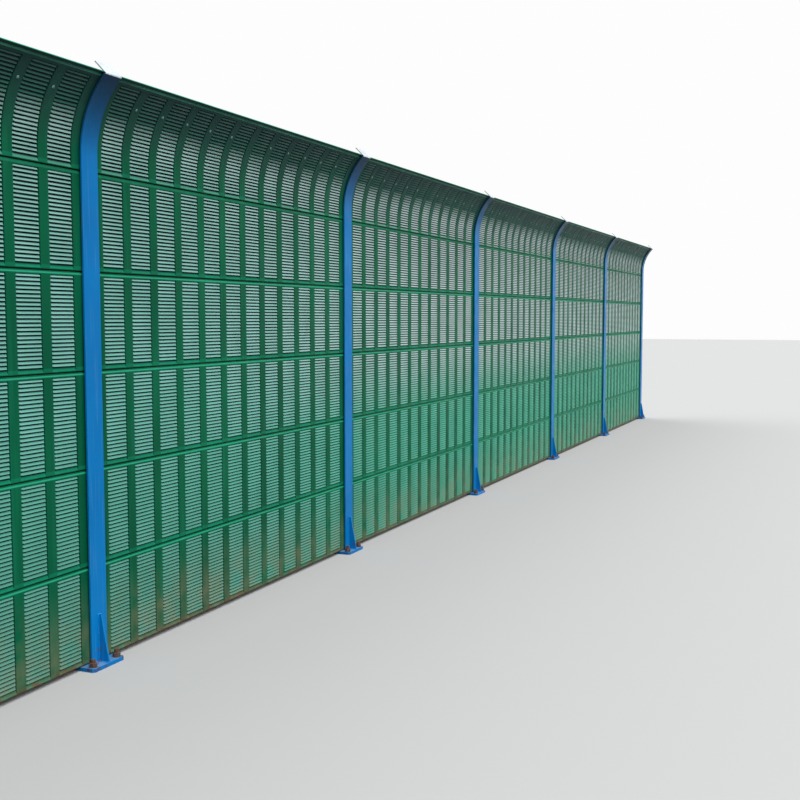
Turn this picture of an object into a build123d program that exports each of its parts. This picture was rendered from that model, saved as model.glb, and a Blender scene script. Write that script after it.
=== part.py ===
from build123d import *
from math import asin, cos, degrees, radians, sin
import os

# Highway noise barrier, six bays long.
# Blue H-section posts stand on bolted base plates and bend towards the road at the top.
# Green louvred panels are stacked between the posts, and the top panel of each bay bends with them.
# Frame: X along the wall, the road side faces -Y, Z up, origin under the middle post's base plate.

# Wall layout
bay_count = 6
bay_length = 3000
row_count = 5

# Post section and its bend, whose radius is that of the road-side face
post_width = 125
post_depth = 125
flange_thickness = 9
web_thickness = 6.5
bend_radius = 530
bend_angle = 45

# Base plate with its four anchor holes
plate_width = 250
plate_depth = 250
plate_thickness = 20
plate_corner = 12
hole_spacing_x = 190
hole_spacing_y = 190
hole_diameter = 26

# Ribs that brace a post on its base plate, in front and behind
gusset_thickness = 10
gusset_height = 250
gusset_toe = 15
gusset_margin = 4

# Plate on the bent end of a post, which rises behind the level top of the wall
cap_thickness = 6
cap_length = 90

# Louvred panel, whose thickness is what the rubber strips leave between the flanges
panel_height = 500
panel_end_gap = 17
arc_panel_straight = 84

# Sloping lip along both top edges of a panel, and the shadow gap under its bottom edges
lip_height = 16
lip_depth = 6
seam_gap = 7
seam_depth = 12

# Tongue on top of a panel, and the groove above it
tongue_width = 50
tongue_height = 12
tongue_clearance = 0.5

# Recessed louvre fields with plain ribs between them
field_count = 12
field_width = 172
rib_width = 64
field_depth = 8
field_top_margin = 4
field_bottom_margin = 4
ledge_height = 17
arc_field_top_margin = 10

# Rail along the top edge of a bent panel, above its lip
top_rail_height = 17

# Rubber strips between the panels and the flanges
gasket_width = 30
gasket_thickness = 8
gasket_clearance = 0.25

# Places worked out from the sizes above
post_xs = [(i - bay_count / 2) * bay_length for i in range(bay_count + 1)]
arc_panel_foot = plate_thickness + row_count * panel_height
bend_foot = arc_panel_foot + arc_panel_straight
bend_centre_y = -post_depth / 2 - bend_radius
bend_axis = Axis((0, bend_centre_y, bend_foot), (1, 0, 0))
bend_direction = (cos(radians(bend_angle)), sin(radians(bend_angle)))
face_y = post_depth / 2 - flange_thickness - gasket_thickness - 2 * gasket_clearance
front_radius = -face_y - bend_centre_y
back_radius = face_y - bend_centre_y
top_level = bend_foot + front_radius * bend_direction[1]
panel_length = bay_length - web_thickness - 2 * panel_end_gap
field_span = field_count * field_width + (field_count - 1) * rib_width
field_starts = [
    (panel_length - field_span) / 2 + i * (field_width + rib_width) for i in range(field_count)
]
field_foot = seam_gap + field_bottom_margin


# A cross section of the wall at x, drawn with local x along +Y and local y up from foot
def section_plane(x, foot):
    return Plane(origin=(x, 0, foot), x_dir=(0, 1, 0), z_dir=(1, 0, 0))


# A point at a radius and an angle round the bend, in a section plane whose foot is the panel's
def round_bend(radius, angle):
    return (
        bend_centre_y + radius * cos(radians(angle)),
        arc_panel_straight + radius * sin(radians(angle)),
    )


# Angle at which a radius round the bend reaches the level top, or the end of the bend before it
def top_angle(radius):
    return degrees(asin(min(bend_direction[1], (top_level - bend_foot) / radius)))


# Underside of a panel from the back face to the front face, with its groove and shadow gaps
def foot_points():
    groove = tongue_width / 2 + tongue_clearance
    rise = tongue_height + tongue_clearance
    step = face_y - seam_depth
    half = [(face_y, seam_gap), (step, seam_gap), (step, 0), (groove, 0), (groove, rise)]
    return half + [(-y, z) for y, z in reversed(half)]


# Planes at the left edge of every louvre field of a panel
def field_planes(left, foot):
    return [section_plane(left + start, foot) for start in field_starts]


# Straight panel, one of those stacked in a bay
def straight_panel(left, foot):
    lip_top = face_y - lip_depth
    lip_foot = panel_height - lip_height
    half_top = [
        (-face_y, lip_foot),
        (-lip_top, panel_height),
        (-tongue_width / 2, panel_height),
        (-tongue_width / 2, panel_height + tongue_height),
    ]
    outline = foot_points() + half_top + [(-y, z) for y, z in reversed(half_top)]
    field_top = lip_foot - field_top_margin
    with BuildPart() as panel:
        with BuildSketch(section_plane(left, foot)):
            with BuildLine():
                Polyline(*outline, close=True)
            make_face()
        extrude(amount=panel_length)
        with BuildSketch(*field_planes(left, foot)):
            with BuildLine():
                Polyline(
                    (-face_y, field_foot),
                    (-face_y + field_depth, field_foot + ledge_height),
                    (-face_y + field_depth, field_top),
                    (-face_y, field_top),
                    close=True,
                )
            make_face()
        extrude(amount=field_width, mode=Mode.SUBTRACT)
    return panel


# Top panel of a bay, straight at its foot and bent with the posts above
def arc_panel(left, foot):
    centre = (bend_centre_y, arc_panel_straight)
    rail_angle = bend_angle - degrees(top_rail_height / front_radius)
    lip_angle = rail_angle - degrees(lip_height / front_radius)
    field_top_angle = lip_angle - degrees(arc_field_top_margin / front_radius)
    recess_radius = front_radius + field_depth
    underside = foot_points()
    with BuildPart() as panel:
        with BuildSketch(section_plane(left, foot)):
            with BuildLine():
                Polyline(round_bend(back_radius, 0), *underside, round_bend(front_radius, 0))
                CenterArc(centre, front_radius, 0, lip_angle)
                Polyline(
                    round_bend(front_radius, lip_angle),
                    round_bend(front_radius + lip_depth, rail_angle),
                    round_bend(front_radius, rail_angle),
                    round_bend(front_radius, bend_angle),
                    round_bend(back_radius, top_angle(back_radius)),
                )
                CenterArc(centre, back_radius, 0, top_angle(back_radius))
            make_face()
        extrude(amount=panel_length)
        with BuildSketch(*field_planes(left, foot)):
            with BuildLine():
                Polyline(
                    round_bend(front_radius, 0),
                    (-face_y, field_foot),
                    (-face_y + field_depth, field_foot + ledge_height),
                    round_bend(recess_radius, 0),
                )
                CenterArc(centre, recess_radius, 0, field_top_angle)
                Line(round_bend(recess_radius, field_top_angle), round_bend(front_radius, field_top_angle))
                CenterArc(centre, front_radius, 0, field_top_angle)
            make_face()
        extrude(amount=field_width, mode=Mode.SUBTRACT)
    return panel


# H-section post, upright to the bend, turned round the bend axis and cut off at the level top
def post(x):
    flange_y = (post_depth - flange_thickness) / 2
    with BuildPart() as column:
        with BuildSketch(Plane.XY.offset(bend_foot)) as section:
            with Locations((x, -flange_y), (x, flange_y)):
                Rectangle(post_width, flange_thickness)
            with Locations((x, 0)):
                Rectangle(web_thickness, post_depth)
        extrude(amount=plate_thickness - bend_foot)
        revolve(section.sketch, axis=bend_axis, revolution_arc=bend_angle)
        split(bisect_by=Plane.XY.offset(top_level), keep=Keep.BOTTOM)
    return column


# Base plates, one under each post, with clipped corners and anchor holes
def base_plates():
    with BuildPart() as plates:
        with BuildSketch() as outline:
            with Locations(*[(x, 0) for x in post_xs]):
                Rectangle(plate_width, plate_depth)
            chamfer(outline.vertices(), length=plate_corner)
            with Locations(*[(x, 0) for x in post_xs]):
                with GridLocations(hole_spacing_x, hole_spacing_y, 2, 2):
                    Circle(hole_diameter / 2, mode=Mode.SUBTRACT)
        extrude(amount=plate_thickness)
    return plates


# Sloping ribs from the base plate up the middle of each flange
def gussets():
    flange_face = post_depth / 2
    toe = plate_depth / 2 - gusset_margin
    planes = [section_plane(x, plate_thickness) for x in post_xs]
    with BuildPart() as ribs:
        for side in (-1, 1):
            with BuildSketch(*planes):
                with BuildLine():
                    Polyline(
                        (side * flange_face, 0),
                        (side * toe, 0),
                        (side * toe, gusset_toe),
                        (side * (flange_face + gusset_toe), gusset_height),
                        (side * flange_face, gusset_height),
                        close=True,
                    )
                make_face()
        extrude(amount=gusset_thickness / 2, both=True)
    return ribs


# Plates on the bent ends of the posts, each seated on the front flange and the web behind it
def post_caps():
    middle = bend_radius + cap_length / 2
    out, up = bend_direction
    y = bend_centre_y + middle * out
    z = bend_foot + middle * up
    with BuildPart() as caps:
        with BuildSketch(Plane(origin=(0, y, z), x_dir=(1, 0, 0), z_dir=(0, -up, out))):
            with Locations(*[(x, 0) for x in post_xs]):
                Rectangle(post_width, cap_length)
        extrude(amount=cap_thickness)
    return caps


# Rubber strips in front of and behind the panel ends, following the bend to the level top
def gaskets():
    inner = face_y + gasket_clearance
    outer = inner + gasket_thickness
    end = web_thickness / 2 + panel_end_gap
    starts = [x + end for x in post_xs[:-1]] + [x - end - gasket_width for x in post_xs[1:]]
    centre = (bend_centre_y, arc_panel_straight)
    foot = plate_thickness - arc_panel_foot
    with BuildPart() as strips:
        for low, high in ((-outer, -inner), (inner, outer)):
            low_radius = low - bend_centre_y
            high_radius = high - bend_centre_y
            with BuildSketch(*[section_plane(x, arc_panel_foot) for x in starts]):
                with BuildLine():
                    Polyline(round_bend(low_radius, 0), (low, foot), (high, foot), round_bend(high_radius, 0))
                    CenterArc(centre, low_radius, 0, top_angle(low_radius))
                    Line(
                        round_bend(low_radius, top_angle(low_radius)),
                        round_bend(high_radius, top_angle(high_radius)),
                    )
                    CenterArc(centre, high_radius, 0, top_angle(high_radius))
                make_face()
        extrude(amount=gasket_width)
    return strips


# Label a finished piece and write it under its name
def save(piece, name):
    piece.part.label = name
    export_step(piece.part, f"parts/{name}.step")


os.makedirs("parts", exist_ok=True)

for number, x in enumerate(post_xs, start=1):
    save(post(x), f"post_{number}")

for bay, x in enumerate(post_xs[:-1], start=1):
    left = x + web_thickness / 2 + panel_end_gap
    for row in range(row_count):
        foot = plate_thickness + row * panel_height
        save(straight_panel(left, foot), f"panel_bay_{bay}_row_{row + 1}")
    save(arc_panel(left, arc_panel_foot), f"arc_panel_bay_{bay}")

save(base_plates(), "base_plates")
save(gussets(), "gussets")
save(post_caps(), "post_caps")
save(gaskets(), "gaskets")
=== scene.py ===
# %% [markdown]
# # A highway noise barrier, dressed for a render
#
# The barrier is a wall of green louvred steel panels between blue steel posts, whose tops bend
# towards the road. The solids come from the imported CAD model, and this script gives them their
# finishes and adds what is too fine for the solids: the pressed louvre hoods, the rivets, the
# hems, the weld beads and the anchor bolts. It also gives the bent panels a finer mesh.
#
# The frame is loaded first, because every new piece is placed from it.

# %% Load the frame
import bmesh
import bpy
import random
from math import cos, pi, radians, sin, sqrt
from mathutils import Matrix, Vector


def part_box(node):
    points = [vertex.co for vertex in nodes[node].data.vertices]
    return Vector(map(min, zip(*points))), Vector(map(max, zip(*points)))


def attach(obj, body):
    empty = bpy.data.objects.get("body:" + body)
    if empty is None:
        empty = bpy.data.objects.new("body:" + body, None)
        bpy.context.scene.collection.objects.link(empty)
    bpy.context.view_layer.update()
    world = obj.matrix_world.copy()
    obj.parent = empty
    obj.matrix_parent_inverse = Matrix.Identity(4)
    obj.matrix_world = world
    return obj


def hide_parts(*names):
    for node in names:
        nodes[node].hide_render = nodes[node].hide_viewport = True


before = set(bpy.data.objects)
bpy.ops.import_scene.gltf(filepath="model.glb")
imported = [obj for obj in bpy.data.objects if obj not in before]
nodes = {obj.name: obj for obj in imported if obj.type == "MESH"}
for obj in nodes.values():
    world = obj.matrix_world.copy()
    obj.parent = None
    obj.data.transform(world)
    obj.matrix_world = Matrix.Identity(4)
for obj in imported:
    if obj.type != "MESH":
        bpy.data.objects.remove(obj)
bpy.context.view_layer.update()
MM = 0.001

# %% [markdown]
# ## Sizes read from the frame
#
# The new pieces follow the panels, so their places come from the boxes of the CAD nodes. The
# louvre fields and the bend are inside a node's shape and not in its box, so their sizes are
# repeated here in millimetres, as the CAD source has them.

# %% Sizes of the wall
bays = range(1, 7)
rows = range(1, 6)
posts = range(1, 8)
post_xs = [(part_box(f"post_{i}")[0].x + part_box(f"post_{i}")[1].x) / 2 for i in posts]
bay_length = post_xs[1] - post_xs[0]
panel_low, panel_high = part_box("panel_bay_1_row_1")
panel_length = panel_high.x - panel_low.x
panel_feet = [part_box(f"panel_bay_1_row_{row}")[0].z for row in rows]
panel_pitch = panel_feet[1] - panel_feet[0]
arc_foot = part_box("arc_panel_bay_1")[0].z
plate_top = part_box("base_plates")[1].z
face_y = panel_low.y

field_count = 12
field_width = 172 * MM
rib_width = 64 * MM
field_depth = 8 * MM
field_pitch = field_width + rib_width
field_span = field_count * field_pitch - rib_width
first_field = panel_low.x + (panel_length - field_span) / 2
field_centres = [first_field + field_width / 2 + i * field_pitch for i in range(field_count)]
rib_centres = [x + field_pitch / 2 for x in field_centres[:-1]]
floor_y = face_y + field_depth

bend_angle = radians(45)
arc_straight = 84 * MM
bend_y = -592.5 * MM
bend_z = arc_foot + arc_straight
bend_axis_point = Vector((0, bend_y, bend_z))
face_radius = face_y - bend_y
floor_radius = floor_y - bend_y
print(f"bays of {bay_length:.3f} m, panel feet at {[round(z, 3) for z in panel_feet]}")
print(f"field centres of bay 1 from {field_centres[0]:.3f} to {field_centres[-1]:.3f}")

# %% [markdown]
# ## Two small helpers
#
# Colours are written as the sRGB hex codes that a paint chart or a picture would give, and
# Blender's sockets want linear values, so one function turns them. The other function adds a
# shader node: it sets the node's own settings, then gives each named socket a value or a link.

# %% Helpers for colours and nodes
def linear(code):
    """The linear colour of an sRGB hex code."""
    parts = [int(code[i : i + 2], 16) / 255 for i in (1, 3, 5)]
    return [c / 12.92 if c <= 0.04045 else ((c + 0.055) / 1.055) ** 2.4 for c in parts] + [1.0]


def add(tree, kind, sockets=(), **settings):
    """Adds a node, sets it up, and gives its sockets their values or links."""
    node = tree.nodes.new(kind)
    for name, value in settings.items():
        setattr(node, name, value)
    for socket, value in dict(sockets).items():
        if isinstance(value, bpy.types.NodeSocket):
            tree.links.new(value, node.inputs[socket])
        else:
            node.inputs[socket].default_value = value
    return node


print("post blue in linear values:", [round(c, 3) for c in linear("#026BA9")])

# %% [markdown]
# ## Camera
#
# The camera stands on the road beside the wall, a little under 1.8 m up, and looks along it. Its
# place and focal length were worked out from the posts and panel seams, whose real spacing is
# known. It comes first, so that each later step can be judged in the picture it is for.

# %% Camera
degrees_down = 4.33
degrees_aside = 22.83
camera_data = bpy.data.cameras.new("road_camera")
camera_data.sensor_width = 36
camera_data.lens = 49.4
camera = bpy.data.objects.new("road_camera", camera_data)
camera.location = (-10.529, -3.655, 1.797)
camera.rotation_euler = (radians(90 - degrees_down), 0, radians(degrees_aside - 90))
bpy.context.scene.collection.objects.link(camera)
bpy.context.scene.camera = camera
print(f"camera at {tuple(round(c, 3) for c in camera.location)}, lens {camera_data.lens:.1f} mm")

# %% [markdown]
# ## Sky
#
# The day is overcast: a bright sky with no hard shadows. The sky is a sun lamp made very wide,
# which gives soft light from above, and the world adds the even light of the haze. A second,
# weaker lamp lights the side that is turned away from the road, which would be too dark to judge
# without it. What the camera and the gloss see behind the wall is plain white.

# %% World and lamps
scene = bpy.context.scene
scene.view_settings.view_transform = "Standard"
sky_spread = radians(70)


def looking(tree):
    """1 for rays that come from the camera, a gloss or glass, and 0 for rays that light a thing."""
    path = add(tree, "ShaderNodeLightPath")
    seen = path.outputs["Is Camera Ray"]
    for kind in ("Is Glossy Ray", "Is Transmission Ray"):
        either = {0: seen, 1: path.outputs[kind]}
        seen = add(tree, "ShaderNodeMath", either, operation="MAXIMUM").outputs[0]
    return seen


def wide_sun(name, energy, tilt, turn):
    """A sun lamp spread over a large part of the sky, tilted off the zenith and turned round it."""
    data = bpy.data.lights.new(name, "SUN")
    data.energy = energy
    data.angle = sky_spread
    data.color = linear("#F6FAFF")[:3]
    lamp = bpy.data.objects.new(name, data)
    lamp.rotation_euler = (radians(tilt), 0, radians(turn))
    scene.collection.objects.link(lamp)
    print(f"{name}: {energy} W/m2, {abs(tilt)} degrees off the zenith")


world = bpy.data.worlds.new("overcast")
scene.world = world
world.use_nodes = True
tree = world.node_tree
tree.nodes.clear()
haze = add(tree, "ShaderNodeBackground", {"Color": linear("#E9EEF0"), "Strength": 0.25})
white = add(tree, "ShaderNodeBackground", {"Color": linear("#FDFDFD"), "Strength": 1.0})
sky = add(tree, "ShaderNodeMixShader", {0: looking(tree), 1: haze.outputs[0], 2: white.outputs[0]})
add(tree, "ShaderNodeOutputWorld", {"Surface": sky.outputs[0]})

wide_sun("road_sky", energy=5.7, tilt=33, turn=-20)
wide_sun("field_sky", energy=2.3, tilt=-40, turn=0)

# %% [markdown]
# ## Floor
#
# The floor looks pale to the camera but sends back as little light as asphalt does. Otherwise
# the underside of the bend would be lit from below, and it is dark on the real wall.

# %% Floor
floor_size = 160
floor_mesh = bmesh.new()
bmesh.ops.create_grid(floor_mesh, x_segments=1, y_segments=1, size=floor_size / 2)
floor_data = bpy.data.meshes.new("floor")
floor_mesh.to_mesh(floor_data)
floor_mesh.free()
floor = bpy.data.objects.new("floor", floor_data)
scene.collection.objects.link(floor)

pale = bpy.data.materials.new("pale_floor")
pale.use_nodes = True
tree = pale.node_tree
tree.nodes.clear()
greys = {0: looking(tree), 6: linear("#3A3C3D"), 7: linear("#A3A19E")}
shade = add(tree, "ShaderNodeMix", greys, data_type="RGBA").outputs[2]
matt = add(tree, "ShaderNodeBsdfDiffuse", {"Color": shade})
add(tree, "ShaderNodeOutputMaterial", {"Surface": matt.outputs[0]})
floor_data.materials.append(pale)
print(f"floor {floor_size} m across")

# %% [markdown]
# ## Layers of colour
#
# All the finishes below are layers of colour. A mask says how much of the upper colour lies over
# the lower one at each point. Most masks come from a noise, which makes soft blotches, or from
# a value such as the height, which is turned into a smooth ramp.
#
# The patterns read Object coordinates, which here are metres in the wall's own frame, so a
# pattern's scale is one over the size of its blotches.

# %% Helpers for masks and layers
def patches(tree, place, size, stretch=(1, 1, 1), detail=3.0, low=0.35, high=0.65, least=0.0):
    """A soft mask from least to 1 with blotches of about that size."""
    turned = add(tree, "ShaderNodeMapping", {"Vector": place, "Scale": [s / size for s in stretch]})
    settings = {"Vector": turned.outputs[0], "Scale": 1.0, "Detail": detail}
    noise = add(tree, "ShaderNodeTexNoise", settings)
    limits = {0: noise.outputs[0], 1: low, 2: high, 3: least}
    return add(tree, "ShaderNodeMapRange", limits).outputs[0]


def ramp(tree, value, start, end, low=0.0, high=1.0):
    """Turns a value smoothly from low at start to high at end."""
    limits = {0: value, 1: start, 2: end, 3: low, 4: high}
    return add(tree, "ShaderNodeMapRange", limits, interpolation_type="SMOOTHSTEP").outputs[0]


def times(tree, first, second):
    """The product of two masks."""
    return add(tree, "ShaderNodeMath", {0: first, 1: second}, operation="MULTIPLY").outputs[0]


def over(tree, mask, below, above):
    """Mixes the colour above over the colour below where the mask is 1."""
    return add(tree, "ShaderNodeMix", {0: mask, 6: below, 7: above}, data_type="RGBA").outputs[2]


print("patches and ramp make masks, times joins two of them, and over lays a colour on")

# %% [markdown]
# ## What all finishes share
#
# No finish is quite smooth or evenly dull. So each ends in the same way: a fine noise lifts the
# surface a little, and a coarser one makes some places duller than others. Several finishes also
# need to know how much a face looks up, which is the Z part of its normal.

# %% Start and end of a finish
wear_size = 80 * MM


def start_finish(name):
    """A new material with an empty node tree, and the place of each point."""
    material = bpy.data.materials.new(name)
    material.use_nodes = True
    tree = material.node_tree
    tree.nodes.clear()
    return material, tree, add(tree, "ShaderNodeTexCoord").outputs["Object"]


def facing(tree, axis):
    """How far a face looks along an axis, from -1 to 1."""
    normal = add(tree, "ShaderNodeNewGeometry").outputs["Normal"]
    return add(tree, "ShaderNodeSeparateXYZ", {0: normal}).outputs[axis]


def end_finish(tree, colour, place, roughness, ripple_size, ripple_height, metallic=0.0, gloss=0.5):
    """Ends the material in a Principled shader with a fine ripple and an uneven dullness."""
    fine = add(tree, "ShaderNodeMapping", {"Vector": place, "Scale": [1 / ripple_size] * 3})
    settings = {"Vector": fine.outputs[0], "Scale": 1.0, "Detail": 2.0}
    height = add(tree, "ShaderNodeTexNoise", settings).outputs[0]
    lift = {"Height": height, "Distance": ripple_height, "Strength": 0.5}
    ripple = add(tree, "ShaderNodeBump", lift)
    limits = {0: patches(tree, place, wear_size), 3: roughness - 0.05, 4: roughness + 0.1}
    dullness = add(tree, "ShaderNodeMapRange", limits).outputs[0]
    inputs = {
        "Base Color": colour,
        "Roughness": dullness,
        "Metallic": metallic,
        "Specular IOR Level": gloss,
        "Normal": ripple.outputs[0],
    }
    shader = add(tree, "ShaderNodeBsdfPrincipled", inputs)
    add(tree, "ShaderNodeOutputMaterial", {"Surface": shader.outputs[0]})


print(f"a finish grows duller in patches of about {wear_size / MM:.0f} mm")

# %% [markdown]
# ## Soot, painted shade and painted sheen round the bend
#
# The underside of the bend never gets rain, so a thin grey layer of exhaust soot stays on it. It
# grows from the start of the bend to its end, as the underside turns down, and it also carries
# painted light: painted shade on the blue posts, and a painted grey reflection of the sky on the
# green panels and hoods. The shader has to know where on the bend a point is, so it works out the
# distance from the bend's axis and the sine of the angle turned round it.

# %% Helpers for the bend
soot_shade_sheen_most = 0.75


def round_bend(tree, place):
    """The distance from the bend's axis, and the sine of the angle turned round it."""
    split = add(tree, "ShaderNodeSeparateXYZ", {0: place})
    out = add(tree, "ShaderNodeMath", {0: split.outputs["Y"], 1: bend_y}, operation="SUBTRACT")
    rise = add(tree, "ShaderNodeMath", {0: split.outputs["Z"], 1: bend_z}, operation="SUBTRACT")
    rise = add(tree, "ShaderNodeMath", {0: rise.outputs[0], 1: 0.0}, operation="MAXIMUM").outputs[0]
    flat = add(tree, "ShaderNodeCombineXYZ", {0: 0.0, 1: out.outputs[0], 2: rise}).outputs[0]
    radius = add(tree, "ShaderNodeVectorMath", {0: flat}, operation="LENGTH").outputs["Value"]
    sine = add(tree, "ShaderNodeMath", {0: rise, 1: radius}, operation="DIVIDE").outputs[0]
    return radius, sine


def with_soot_shade_sheen(tree, sine, colour, soot_shade_sheen):
    """Lays soot, painted shade and a painted grey sheen over a colour round the bend, more and more
    up to its end.
    """
    limits = {0: sine, 1: 0.0, 2: sin(bend_angle), 4: soot_shade_sheen_most}
    mask = add(tree, "ShaderNodeMapRange", limits).outputs[0]
    return over(tree, mask, colour, linear(soot_shade_sheen))


print(f"the sheet's face is {face_radius:.4f} m from the bend's axis")

# %% [markdown]
# ## Painted shade in the recesses, and worn and highlighted edges of a panel
#
# The floors of the recessed fields, which show between the hoods, the gaps at the panels' feet
# and a thin line under the last hood of each field get painted shade, nearly black. The shader
# finds them by their depth behind the panel's face, measured round the bend's axis, so that one
# rule serves the straight and the bent panels.
#
# The rail along the foot of each panel is rubbed paler. The crest of the lip along its top gets a
# painted highlight, which is taken off again near the bent panels as painted shade, and the lip of
# a bent panel gets a pale painted highlight line.
# The panels are stacked evenly, so a point's height in its own panel, as a share of it, is what
# is left over when its height is divided by that of a panel. The lip of a bent panel is found by
# the sine of its angle instead.

# %% Helpers for painted recess shade and edges
dark_from = (5.5 * MM, 7.5 * MM)
dark_until = (13.5 * MM, 14.5 * MM)
foot_rail = (0.026, 0.050)
# Where the painted highlights lie: on the lip crests, along the bent lips, and fading out as
# painted shade up to the top seam.
crest_highlight_share = (0.976, 0.984)
bent_lip_highlight = (0.672, 0.684)
top_seam = (2.45, 2.5)


def with_painted_recess_shade(tree, radius, colour):
    """Paints shade, nearly black, on the field floors between the hoods and in the gaps at the
    feet.
    """
    near = ramp(tree, radius, face_radius + dark_from[0], face_radius + dark_from[1])
    far = ramp(tree, radius, face_radius + dark_until[0], face_radius + dark_until[1], 1.0, 0.0)
    return over(tree, times(tree, near, far), colour, linear("#122A27"))


def band(tree, value, low, high, soft):
    """A mask that is 1 between low and high and fades out over the width soft on either side."""
    rise = ramp(tree, value, low - soft, low)
    return times(tree, rise, ramp(tree, value, high, high + soft, 1.0, 0.0))


def rail_wear_and_highlights(tree, place, height, sine, colour):
    """Lightens the foot rails as wear, and paints highlights on the lip crests and along the bent
    lips.
    """
    above = add(tree, "ShaderNodeMath", {0: height, 1: panel_feet[0]}, operation="SUBTRACT")
    panels = add(tree, "ShaderNodeMath", {0: above.outputs[0], 1: panel_pitch}, operation="DIVIDE")
    share = add(tree, "ShaderNodeMath", {0: panels.outputs[0]}, operation="FRACT").outputs[0]
    rail = times(tree, band(tree, share, *foot_rail, soft=0.012), 0.2)
    colour = over(tree, rail, colour, linear("#1C9A73"))
    # Painted highlight on each lip's crest, taken off under the bend as painted shade.
    bend_shade_on_crest = ramp(tree, height, *top_seam, 0.6, 0.1)
    crest_highlight = times(tree, band(tree, share, *crest_highlight_share, soft=0.006), bend_shade_on_crest)
    colour = over(tree, crest_highlight, colour, linear("#2FA37E"))
    # Painted highlight along the lip of the bent panel, uneven in strength.
    uneven = patches(tree, place, 400 * MM, least=0.5)
    lip_highlight = times(tree, band(tree, sine, *bent_lip_highlight, soft=0.004), uneven)
    return over(tree, lip_highlight, colour, linear("#7ED9B9"))


print(f"dark from {dark_from[0] / MM:.1f} to {dark_until[1] / MM:.1f} mm behind a panel's face")

# %% [markdown]
# ## Panel paint
#
# The panels are galvanised sheet with a green powder coat: a sprayed polyester film, very
# slightly rippled, which the weather has made nearly matt. Outdoors it goes uneven. It fades in
# broad patches, rain draws paler streaks down it, and splash water leaves brown dirt along the
# foot. Faces that look up get a paler film, which is road dust and a painted sheen of the sky, and
# which ends part way round the bend, where that painted reflection stops.
#
# The film's colour changes with the height, from green near the ground to grey. Far along the
# wall the upper film is paler still, as painted sky reflection and haze, so there is a second
# list of colours for it.

# %% Powder coat
splash_heights = (0.5, 0.03)
foot_heights = (0.07, 0.025)
far_bays = (post_xs[1], post_xs[3])
sky_reflection_fade = 0.015


def tinted(tree, height, stops):
    """A colour that changes with height through (metres, hex code) pairs."""
    colour = linear(stops[0][1])
    for (low, _), (high, code) in zip(stops, stops[1:]):
        colour = over(tree, ramp(tree, height, low, high), colour, linear(code))
    return colour


def splashed(tree, place, height, colour):
    """Lays brown splash dirt over a colour near the ground, and darker mud along the foot."""
    blotches = patches(tree, place, 120 * MM, low=0.3, high=0.7)
    splash = times(tree, ramp(tree, height, *splash_heights), blotches)
    colour = over(tree, times(tree, splash, 0.5), colour, linear("#7C7258"))
    blotches = patches(tree, place, 50 * MM, low=0.3, high=0.6)
    foot = times(tree, ramp(tree, height, *foot_heights), blotches)
    return over(tree, times(tree, foot, 0.8), colour, linear("#5E3B2A"))


def powder_coat(
    name,
    paints,
    dust_and_sheen_tints,
    dust_sheen_from,
    dust_sheen_to,
    dust_sheen_most,
    sky_reflection_end=0.385,
    far_dust_and_sheen_tints=None,
    soot_shade_sheen="#3A5556",
    recess_shade_and_edge_marks=False,
):
    """Green powder coat with fading, rain streaks, soot with painted shade and sheen, dust with a
    painted sheen, splash dirt and, when asked, painted recess shade and edge highlights.

    The film of dust and painted sheen starts on faces that look up as far as dust_sheen_from,
    reaches dust_sheen_most at dust_sheen_to, and ends where the sine of the angle round the bend is
    sky_reflection_end, where the painted sky reflection stops.
    """
    material, tree, place = start_finish(name)
    height = add(tree, "ShaderNodeSeparateXYZ", {0: place}).outputs["Z"]
    radius, sine = round_bend(tree, place)
    fresh, faded = paints
    colour = over(tree, patches(tree, place, 900 * MM), linear(fresh), linear(faded))
    streaks = patches(tree, place, 35 * MM, (1, 1, 0.06), low=0.5, high=0.75)
    colour = over(tree, times(tree, streaks, 0.12), colour, linear("#2E9F7C"))
    # Soot round the bend, with a painted grey reflection of the sky.
    colour = with_soot_shade_sheen(tree, sine, colour, soot_shade_sheen)
    # Painted shade in the recesses, then worn rails and painted highlights on the edges.
    if recess_shade_and_edge_marks:
        colour = with_painted_recess_shade(tree, radius, colour)
        colour = rail_wear_and_highlights(tree, place, height, sine, colour)
    # Dust with a painted sheen of the sky on faces that look up; far along the wall the film is
    # paler, as painted sky reflection and haze.
    dust_sheen_film = tinted(tree, height, dust_and_sheen_tints)
    if far_dust_and_sheen_tints:
        along = add(tree, "ShaderNodeSeparateXYZ", {0: place}).outputs["X"]
        dust_sheen_film = over(tree, ramp(tree, along, *far_bays), dust_sheen_film, tinted(tree, height, far_dust_and_sheen_tints))
    dusty = ramp(tree, facing(tree, "Z"), dust_sheen_from, dust_sheen_to, 0.0, dust_sheen_most)
    # The painted sky reflection ends part way round the bend, where the faces turn away from the
    # sky.
    sky_reflection_reached = ramp(tree, sine, sky_reflection_end - sky_reflection_fade, sky_reflection_end + sky_reflection_fade, 1.0, 0.0)
    dusty = times(tree, times(tree, dusty, sky_reflection_reached), patches(tree, place, 250 * MM, least=0.82))
    colour = splashed(tree, place, height, over(tree, dusty, colour, dust_sheen_film))
    end_finish(tree, colour, place, 0.42, 4 * MM, 0.08 * MM, gloss=0.05)
    print(f"{name} has {len(tree.nodes)} nodes")
    return material


# %% [markdown]
# The straight panels get the coat now. A CAD node keeps its own mesh, and only the material in
# its slots changes.

# %% Paint on the straight panels
def paint(node_name, material):
    """Gives all material slots of a CAD node one material."""
    for slot in nodes[node_name].material_slots:
        slot.material = material


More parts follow.
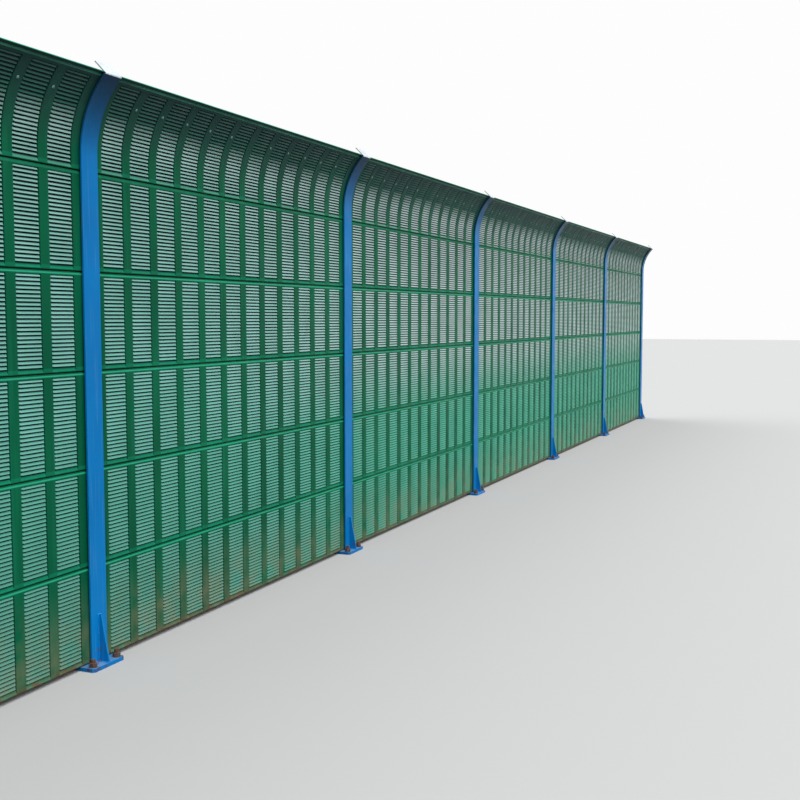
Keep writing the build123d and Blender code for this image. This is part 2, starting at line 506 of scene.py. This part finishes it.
panel_green = powder_coat(
    "green_powder_coat",
    paints=("#024A31", "#055A3C"),
    # The green tints are dust with a painted sheen; the pale last tint and the far list paint sky
    # reflection.
    dust_and_sheen_tints=[(0.0, "#158A68"), (2.52, "#1A8F6D"), (2.53, "#94D2C6")],
    far_dust_and_sheen_tints=[(0.0, "#158A68"), (2.52, "#1A8F6D"), (2.53, "#DDF0EA")],
    dust_sheen_from=0.25,
    dust_sheen_to=0.75,
    dust_sheen_most=0.75,
    recess_shade_and_edge_marks=True,
)
for bay in bays:
    for row in rows:
        paint(f"panel_bay_{bay}_row_{row}", panel_green)
print(f"{panel_green.name} on {len(bays) * len(rows)} panels")

# %% [markdown]
# ## Post paint
#
# The posts are rolled steel with a brushed blue alkyd enamel. It covers the mill surface in a
# thicker, softer film than powder coat does, with more gloss, and it chalks a little in the sun.
# Where water stands, at the foot and along the welds, rust comes through.

# %% Enamel
rust_top = 0.16
post_blue, tree, place = start_finish("blue_enamel")
height = add(tree, "ShaderNodeSeparateXYZ", {0: place}).outputs["Z"]
_, sine = round_bend(tree, place)
colour = over(tree, patches(tree, place, 600 * MM), linear("#026BA9"), linear("#0775B5"))
streaks = patches(tree, place, 20 * MM, (1, 1, 0.05), low=0.55, high=0.8)
colour = over(tree, times(tree, streaks, 0.15), colour, linear("#7FB0DC"))
# Soot round the bend, with painted shade darkening the bent part of the posts.
colour = with_soot_shade_sheen(tree, sine, colour, "#1F2A2B")
blotches = patches(tree, place, 80 * MM, low=0.25, high=0.7)
dusty = times(tree, ramp(tree, facing(tree, "Z"), 0.4, 0.95, 0.0, 0.5), blotches)
colour = over(tree, dusty, colour, linear("#8D8674"))
spots = patches(tree, place, 30 * MM, detail=8.0, low=0.56, high=0.66)
rust = times(tree, ramp(tree, height, rust_top, 0.0), spots)
colour = over(tree, times(tree, rust, 0.8), colour, linear("#573423"))
end_finish(tree, colour, place, 0.35, 6 * MM, 0.15 * MM, gloss=0.1)
for name in [f"post_{i}" for i in posts] + ["base_plates", "gussets"]:
    paint(name, post_blue)
print(f"{post_blue.name} has {len(tree.nodes)} nodes")

# %% [markdown]
# ## Galvanised caps
#
# The plates on the posts' ends were left as they came out of the zinc bath. Zinc that has been
# dipped is a bright grey with a faint pattern of crystals, each a few millimetres wide and each
# a little lighter or darker than the next. Being bare metal, it mirrors the pale road and sky,
# and so the caps look nearly white from below. Their side edges, which look along the wall, are
# painted darker grey, as painted shade.

# %% Zinc
spangle = 8 * MM
zinc, tree, place = start_finish("dipped_zinc")
crystals = add(tree, "ShaderNodeTexVoronoi", {"Vector": place, "Scale": 1 / spangle})
grain = add(tree, "ShaderNodeSeparateColor", {0: crystals.outputs["Color"]}).outputs[0]
colour = over(tree, grain, linear("#D3DEE6"), linear("#EDF5FA"))
# Painted shade: the faces that look along the wall are made darker grey.
sideways = add(tree, "ShaderNodeMath", {0: facing(tree, "X")}, operation="ABSOLUTE").outputs[0]
colour = over(tree, ramp(tree, sideways, 0.7, 0.95), colour, linear("#7D8386"))
end_finish(tree, colour, place, 0.3, 3 * MM, 0.05 * MM, metallic=1.0)
paint("post_caps", zinc)
print(f"{zinc.name} on the caps, with crystals of {spangle / MM:.0f} mm")

# %% [markdown]
# ## Rubber strips
#
# Strips of black EPDM rubber hold the panels tight between the flanges. Extruded rubber is matt
# and turns grey as dust sticks to it.

# %% Rubber
rubber, tree, place = start_finish("extruded_rubber")
colour = over(tree, patches(tree, place, 50 * MM), linear("#15181A"), linear("#2E3231"))
end_finish(tree, colour, place, 0.75, 3 * MM, 0.1 * MM)
paint("gaskets", rubber)
print(f"{rubber.name} on the strips")

# %% [markdown]
# ## Louvre hoods
#
# Each field is pressed with 23 hoods. A press cuts the sheet along a line and pushes it out
# above the cut, so a hood grows out of the sheet at its top and at both ends, and is open at its
# lower lip. Sound goes in there and rain stays out. The hoods could be a bump pattern, but their
# open undersides are what makes the wall's stripes, wide for the rows above the eye and narrow
# for those below it, so they are real shapes.
#
# One hood is a small grid whose inner points are pulled outwards, given the sheet's thickness.
# Its top and both ends are sunk a little into the panel, so that no gap shows there. It is then
# repeated down the field, across the panel and up the bay.

# %% One hood
hood_count = 23
ledge_top = 28 * MM
field_top = 480 * MM
hood_pitch = (field_top - ledge_top) / hood_count
hood_height = 0.62 * hood_pitch
hood_reach = 10 * MM
hood_taper = 9 * MM
bulge_fall = 0.45 * hood_height
bulge_reach = 0.66 * hood_reach
sheet = 0.9 * MM
bite = 0.3 * MM


def new_hood():
    """A hood whose top edge is at z 0 on a floor at y 0, centred on x 0."""
    hood = bmesh.new()
    bmesh.ops.create_grid(hood, x_segments=3, y_segments=2, size=0.5)
    end, shoulder = field_width / 2, field_width / 2 - hood_taper
    across = [-end, -shoulder, shoulder, end]
    fall = [hood_height, bulge_fall, 0.0]
    reach = [hood_reach, bulge_reach, -bite]
    for vert in hood.verts:
        column = round((vert.co.x + 0.5) * 3)
        level = round((vert.co.y + 0.5) * 2)
        out = -bite if column in (0, 3) else reach[level]
        vert.co = (across[column], -out, -fall[level])
    bmesh.ops.recalc_face_normals(hood, faces=hood.faces)
    if sum(face.normal.y for face in hood.faces) > 0:
        bmesh.ops.reverse_faces(hood, faces=hood.faces)
    bmesh.ops.solidify(hood, geom=hood.faces[:], thickness=sheet)
    bmesh.ops.recalc_face_normals(hood, faces=hood.faces)
    return hood


sample = new_hood()
sample_ys = [vert.co.y / MM for vert in sample.verts]
print(f"a hood has {len(sample.faces)} faces, y {min(sample_ys):.1f} to {max(sample_ys):.1f} mm")
sample.free()

# %% [markdown]
# A column of hoods on a straight panel is the hood moved down by one pitch at a time. On the bent
# panel the lower ones are moved the same way, and the others are turned round the bend's axis by
# the angle that one pitch takes up on the floor of the field.

# %% Columns and rows of hoods
top_rail_height = 17 * MM
lip_height = 16 * MM
arc_field_top_margin = 10 * MM


def repeat(work, geometry, count, step):
    """Copies geometry count - 1 times, each moved one step further, and returns it all."""
    everything = list(geometry)
    for i in range(1, count):
        made = bmesh.ops.duplicate(work, geom=geometry)["geom"]
        verts = [item for item in made if isinstance(item, bmesh.types.BMVert)]
        bmesh.ops.translate(work, verts=verts, vec=step * i)
        everything += made
    return everything


def parts_of(work):
    """All vertices, edges and faces of a bmesh as one list."""
    return [*work.verts, *work.edges, *work.faces]


def straight_rows():
    """The hoods of the five straight panels of bay 1."""
    work = new_hood()
    top = panel_feet[0] + field_top
    bmesh.ops.translate(work, verts=work.verts, vec=(field_centres[0], floor_y, top))
    column = repeat(work, parts_of(work), hood_count, Vector((0, 0, -hood_pitch)))
    panel = repeat(work, column, field_count, Vector((field_pitch, 0, 0)))
    repeat(work, panel, len(panel_feet), Vector((0, 0, panel_pitch)))
    return work


def arc_row():
    """The hoods of the bent panel of bay 1."""
    above_fields = top_rail_height + lip_height + arc_field_top_margin
    straight_length = arc_straight - ledge_top
    arc_length = (bend_angle - above_fields / face_radius) * floor_radius
    pitch = (straight_length + arc_length) / hood_count
    work = bmesh.new()
    for i in range(hood_count):
        top = arc_length - i * pitch
        hood = new_hood()
        spot = (field_centres[0], floor_y, bend_z + min(top, 0.0))
        bmesh.ops.translate(hood, verts=hood.verts, vec=spot)
        turn = Matrix.Rotation(max(top, 0.0) / floor_radius, 3, "X")
        bmesh.ops.rotate(hood, verts=hood.verts, cent=bend_axis_point, matrix=turn)
        single = bpy.data.meshes.new("single_hood")
        hood.to_mesh(single)
        hood.free()
        work.from_mesh(single)
        bpy.data.meshes.remove(single)
    repeat(work, parts_of(work), field_count, Vector((field_pitch, 0, 0)))
    return work


# %% [markdown]
# All hoods of a bay become one mesh. It is shaded smooth, but for the edges that are really
# sharp, such as the cut lower lip of a hood.

# %% All hoods of one bay
sharp_angle = radians(38)


def as_mesh(work, name):
    """Ends a bmesh and returns it as a mesh, smooth but for its sharp edges."""
    mesh = bpy.data.meshes.new(name)
    work.to_mesh(mesh)
    work.free()
    mesh.shade_smooth()
    mesh.set_sharp_from_angle(angle=sharp_angle)
    return mesh


bay_hoods = straight_rows()
arc_mesh = as_mesh(arc_row(), "arc_hoods")
bay_hoods.from_mesh(arc_mesh)
bpy.data.meshes.remove(arc_mesh)
hood_mesh = as_mesh(bay_hoods, "louvres")
print(f"the hoods of a bay have {len(hood_mesh.polygons)} faces")

# %% [markdown]
# The hoods are the palest part of the wall. They slope up towards the sky, so dust stays on them,
# and their pale film is also a painted sheen of the sky, which ends about where the bend turns them
# level. Their paint is the panel's, with a much thicker film of dust and painted sheen on it. That
# film is painted paler with height, to undo the shade under the bend, and paler still far along
# the wall, as painted sky reflection and haze.

# %% Paint of the hoods
hood_green = powder_coat(
    "dust_and_sheen_powder_coat",
    paints=("#05573F", "#0A6A4C"),
    # Tints of dust and painted sheen, painted paler with height to undo the shade under the bend.
    dust_and_sheen_tints=[
        (0.3, "#4F8675"),
        (0.8, "#52917F"),
        (1.3, "#649F91"),
        (1.8, "#72A59A"),
        (2.56, "#7DA69C"),
        (2.82, "#AECDC5"),
    ],
    # Far along the wall the upper rows are paler, as painted sky reflection and haze.
    far_dust_and_sheen_tints=[
        (0.3, "#45987D"),
        (0.9, "#4FA287"),
        (1.6, "#AABBB6"),
        (2.56, "#AFBBB8"),
        (2.82, "#CADBD6"),
    ],
    dust_sheen_from=0.05,
    dust_sheen_to=0.38,
    dust_sheen_most=0.97,
    # Soot round the bend, with a painted grey reflection of the sky on the hoods.
    soot_shade_sheen="#4A6465",
)

# %% [markdown]
# Every bay gets a copy of the same mesh, moved along the wall. An object stays at the origin and
# its place is in the mesh, so that it rides on the wall's one body as the CAD nodes do.

# %% Hoods on every bay
def put(mesh, name, material):
    """Makes an object of a mesh, with its material and its body."""
    piece = bpy.data.objects.new(name, mesh)
    mesh.materials.clear()
    mesh.materials.append(material)
    scene.collection.objects.link(piece)
    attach(piece, "root")
    return piece


def moved_along(mesh, x):
    """A copy of a mesh, moved along the wall."""
    moved = mesh.copy()
    moved.transform(Matrix.Translation((x, 0, 0)))
    return moved


for bay in bays:
    mesh = moved_along(hood_mesh, bay_length * (bay - 1))
    put(mesh, f"louvres_bay_{bay}", hood_green)
bpy.data.meshes.remove(hood_mesh)
print("louvres on", len(bays), "bays")

# %% [markdown]
# ## Bent panels
#
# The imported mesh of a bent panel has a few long, thin triangles on its ribs. They run straight
# across the hollow of the bend, up to 15 mm in front of the sheet, where the real sheet is
# smooth. So a finer copy stands in for the CAD node. It is sliced by planes through the bend's
# axis, and each point that the slices put in front of the sheet is pushed back onto it.

# %% Finer bent panels
slice_count = 24
slice_slack = 0.001 * MM
push_slack = 0.01 * MM


def finer_bend(mesh):
    """A copy of a bent panel's mesh in which no triangle runs across the bend."""
    work = bmesh.new()
    work.from_mesh(mesh)
    for i in range(slice_count):
        angle = bend_angle * i / slice_count
        across = (0, -sin(angle), cos(angle))
        bmesh.ops.bisect_plane(
            work, geom=parts_of(work), dist=slice_slack, plane_co=bend_axis_point, plane_no=across
        )
    pushed = 0
    for vert in work.verts:
        arm = Vector((0, vert.co.y - bend_y, vert.co.z - bend_z))
        if arm.z > -push_slack and arm.length < face_radius - push_slack:
            vert.co += arm.normalized() * (face_radius - arm.length)
            pushed += 1
    for face in work.faces:
        face.material_index = 0
    print(f"{len(work.faces)} faces after {slice_count} slices, {pushed} points pushed back")
    return work


bent_mesh = as_mesh(finer_bend(nodes["arc_panel_bay_1"].data), "bent_panel")
for bay in bays:
    mesh = moved_along(bent_mesh, bay_length * (bay - 1))
    piece = put(mesh, f"bent_panel_bay_{bay}", panel_green)
    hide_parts(f"arc_panel_bay_{bay}")
bpy.data.meshes.remove(bent_mesh)

# %% [markdown]
# ## Rivets on the bent panels
#
# The bent panels are held to a stiffener behind them by one rivet on each rib, but the middle
# one. They are zinc-plated steel domes. Plated zinc soon dulls to a matt grey oxide, so they
# mirror nothing, but they stay a little lighter than the paint round them. A dome is a flattened
# sphere, turned to stand on the rib's face.

# %% Rivets
rivet_radius = 9 * MM
rivet_flatness = 0.45
rivet_turn = Matrix.Rotation(radians(29.5), 3, "X")
rivets = bmesh.new()
for bay in bays:
    for i, x in enumerate(rib_centres):
        if i == len(rib_centres) // 2:
            continue
        dome = bmesh.ops.create_uvsphere(rivets, u_segments=12, v_segments=8, radius=rivet_radius)
        verts = dome["verts"]
        bmesh.ops.scale(rivets, verts=verts, vec=(1, rivet_flatness, 1))
        spot = (x + bay_length * (bay - 1), face_y, bend_z)
        bmesh.ops.translate(rivets, verts=verts, vec=spot)
        bmesh.ops.rotate(rivets, verts=verts, cent=bend_axis_point, matrix=rivet_turn)
print(f"rivets: {len(rivets.faces)} faces")

dulled_zinc, tree, place = start_finish("dulled_zinc")
colour = over(tree, patches(tree, place, 10 * MM), linear("#769990"), linear("#8EADA5"))
end_finish(tree, colour, place, 0.6, 3 * MM, 0.05 * MM, gloss=0.1)
put(as_mesh(rivets, "rivets"), "arc_rivets", dulled_zinc)

# %% [markdown]
# ## Hem of the bent panels
#
# The front edge of a bent panel is hemmed: the sheet is folded back on itself, which leaves a
# round edge of a few millimetres. It is small, but its upper side catches the sky and draws the
# bright line between the dark underside and the sky. A thin rod along the edge gives that
# roundness.

# %% Hems
hem_radius = 4 * MM
hem_y = face_y - 0.6 * hem_radius
lying = Matrix.Rotation(radians(90), 3, "Y")
hem_turn = Matrix.Rotation(bend_angle, 3, "X")
hems = bmesh.new()
for bay in bays:
    rod = bmesh.ops.create_cone(
        hems, cap_ends=True, segments=10, radius1=hem_radius, radius2=hem_radius, depth=panel_length
    )["verts"]
    bmesh.ops.rotate(hems, verts=rod, cent=(0, 0, 0), matrix=lying)
    middle = (panel_low.x + panel_high.x) / 2 + bay_length * (bay - 1)
    bmesh.ops.translate(hems, verts=rod, vec=(middle, hem_y, bend_z))
    bmesh.ops.rotate(hems, verts=rod, cent=bend_axis_point, matrix=hem_turn)

# The hem's paint is a painted highlight: a paler green over every face but those that look down.
hem_highlight_green = powder_coat(
    "hem_highlight_powder_coat",
    paints=("#024A31", "#055A3C"),
    dust_and_sheen_tints=[(0.0, "#2FA07D")],
    dust_sheen_from=-0.6,
    dust_sheen_to=0.1,
    dust_sheen_most=0.9,
    sky_reflection_end=1.0,
)
put(as_mesh(hems, "hems"), "top_hems", hem_highlight_green)
print(f"hems of {panel_length:.3f} m along {len(bays)} bays")

# %% [markdown]
# ## Weld beads
#
# The posts and their ribs are welded to the base plates. A bead is a row of drops that froze one
# over the other, so it is made as a thin tube whose width goes up and down, closed at both ends.
# The beads are painted over with the posts' enamel, and what shows is only that the corners are
# filled and a little uneven. One post's beads are made first and then copied to the others.

# %% Weld beads
bead_radius = 5 * MM
bead_sides = 8
ripple_step = 5 * MM
ripple_depth = 0.25
post_low, post_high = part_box("post_4")
half_flange = (post_high.x - post_low.x) / 2
flange_y = 62.5 * MM
toe_y = 121 * MM
rib_half = 5 * MM
rib_top = 270 * MM
unevenness = random.Random(11)


def bead(work, start, end):
    """A rippled tube from one point to another: a grid whose rows are wound round the line."""
    start, end = Vector(start), Vector(end)
    rings = 2 * round((end - start).length / ripple_step)
    along = (end - start).normalized()
    sideways = along.orthogonal().normalized()
    other = along.cross(sideways)
    sizes = [unevenness.uniform(0.9, 1.1) - ripple_depth * (i % 2) for i in range(rings + 1)]
    sizes[0] = sizes[-1] = 0.0
    made = bmesh.ops.create_grid(work, x_segments=rings, y_segments=bead_sides, size=0.5)["verts"]
    for vert in made:
        ring = round((vert.co.x + 0.5) * rings)
        turn = (vert.co.y + 0.5) * 2 * pi
        out = cos(turn) * sideways + sin(turn) * other
        vert.co = start.lerp(end, ring / rings) + bead_radius * sizes[ring] * out
    bmesh.ops.remove_doubles(work, verts=made, dist=0.01 * MM)


post_beads = bmesh.new()
for side in (-1, 1):
    face = side * flange_y
    bead(post_beads, (-half_flange, face, plate_top), (half_flange, face, plate_top))
    for edge in (-rib_half, rib_half):
        bead(post_beads, (edge, face, plate_top), (edge, side * toe_y, plate_top))
        bead(post_beads, (edge, face, plate_top), (edge, face, rib_top))
bmesh.ops.recalc_face_normals(post_beads, faces=post_beads.faces)
post_mesh = as_mesh(post_beads, "post_beads")
beads = bmesh.new()
for post_x in post_xs:
    mesh = moved_along(post_mesh, post_x)
    beads.from_mesh(mesh)
    bpy.data.meshes.remove(mesh)
bpy.data.meshes.remove(post_mesh)
print(f"weld beads: {len(beads.faces)} faces")
put(as_mesh(beads, "beads"), "weld_beads", post_blue)

# %% [markdown]
# ## Anchor bolts
#
# Four M24 anchor bolts hold each base plate down. A washer and a hexagon nut sit on the plate,
# and the threaded end stands out of the nut, never twice by quite the same length. They are bare
# steel, so they are rusty.

# %% Anchor bolts
hole_offset = 95 * MM
bolt_radius = 12 * MM
bolt_foot = 2 * MM
bolt_reach = 18 * MM
nut_flats = 36 * MM
nut_height = 19 * MM
washer_height = 4 * MM
washer_radius = 22 * MM
washer_edge = 0.6 * MM
bolt_edge = 1.5 * MM


def disc(work, centre, radius, low, high, sides, edge, turn=0.0):
    """A standing cylinder or hexagon with bevelled ends."""
    made = bmesh.ops.create_cone(
        work, cap_ends=True, segments=sides, radius1=radius, radius2=radius, depth=high - low
    )["verts"]
    bmesh.ops.rotate(work, verts=made, cent=(0, 0, 0), matrix=Matrix.Rotation(turn, 3, "Z"))
    bmesh.ops.translate(work, verts=made, vec=(*centre, (low + high) / 2))
    edges = {e for vert in made for e in vert.link_edges}
    rims = [e for e in edges if abs(e.verts[0].co.z - e.verts[1].co.z) < 1e-6]
    bmesh.ops.bevel(
        work, geom=rims, offset=edge, segments=1, profile=0.5, affect="EDGES", material=-1
    )


bolts = bmesh.new()
chance = random.Random(7)
washer_top = plate_top + washer_height
nut_top = washer_top + nut_height
for post_x in post_xs:
    for x in (post_x - hole_offset, post_x + hole_offset):
        for y in (-hole_offset, hole_offset):
            disc(bolts, (x, y), washer_radius, plate_top, washer_top, 20, washer_edge)
            turn = chance.uniform(0, pi / 3)
            disc(bolts, (x, y), nut_flats / sqrt(3), washer_top, nut_top, 6, bolt_edge, turn)
            bolt_top = nut_top + bolt_reach + chance.uniform(-4, 4) * MM
            disc(bolts, (x, y), bolt_radius, bolt_foot, bolt_top, 12, bolt_edge)
print(f"anchor bolts: {len(bolts.faces)} faces")

rusty, tree, place = start_finish("rusted_steel")
colour = over(tree, patches(tree, place, 6 * MM, detail=6.0), linear("#33221C"), linear("#5C3E2C"))
colour = over(tree, patches(tree, place, 20 * MM, low=0.5, high=0.7), colour, linear("#4A4440"))
end_finish(tree, colour, place, 0.8, 2 * MM, 0.3 * MM)
put(as_mesh(bolts, "bolts"), "anchor_bolts", rusty)
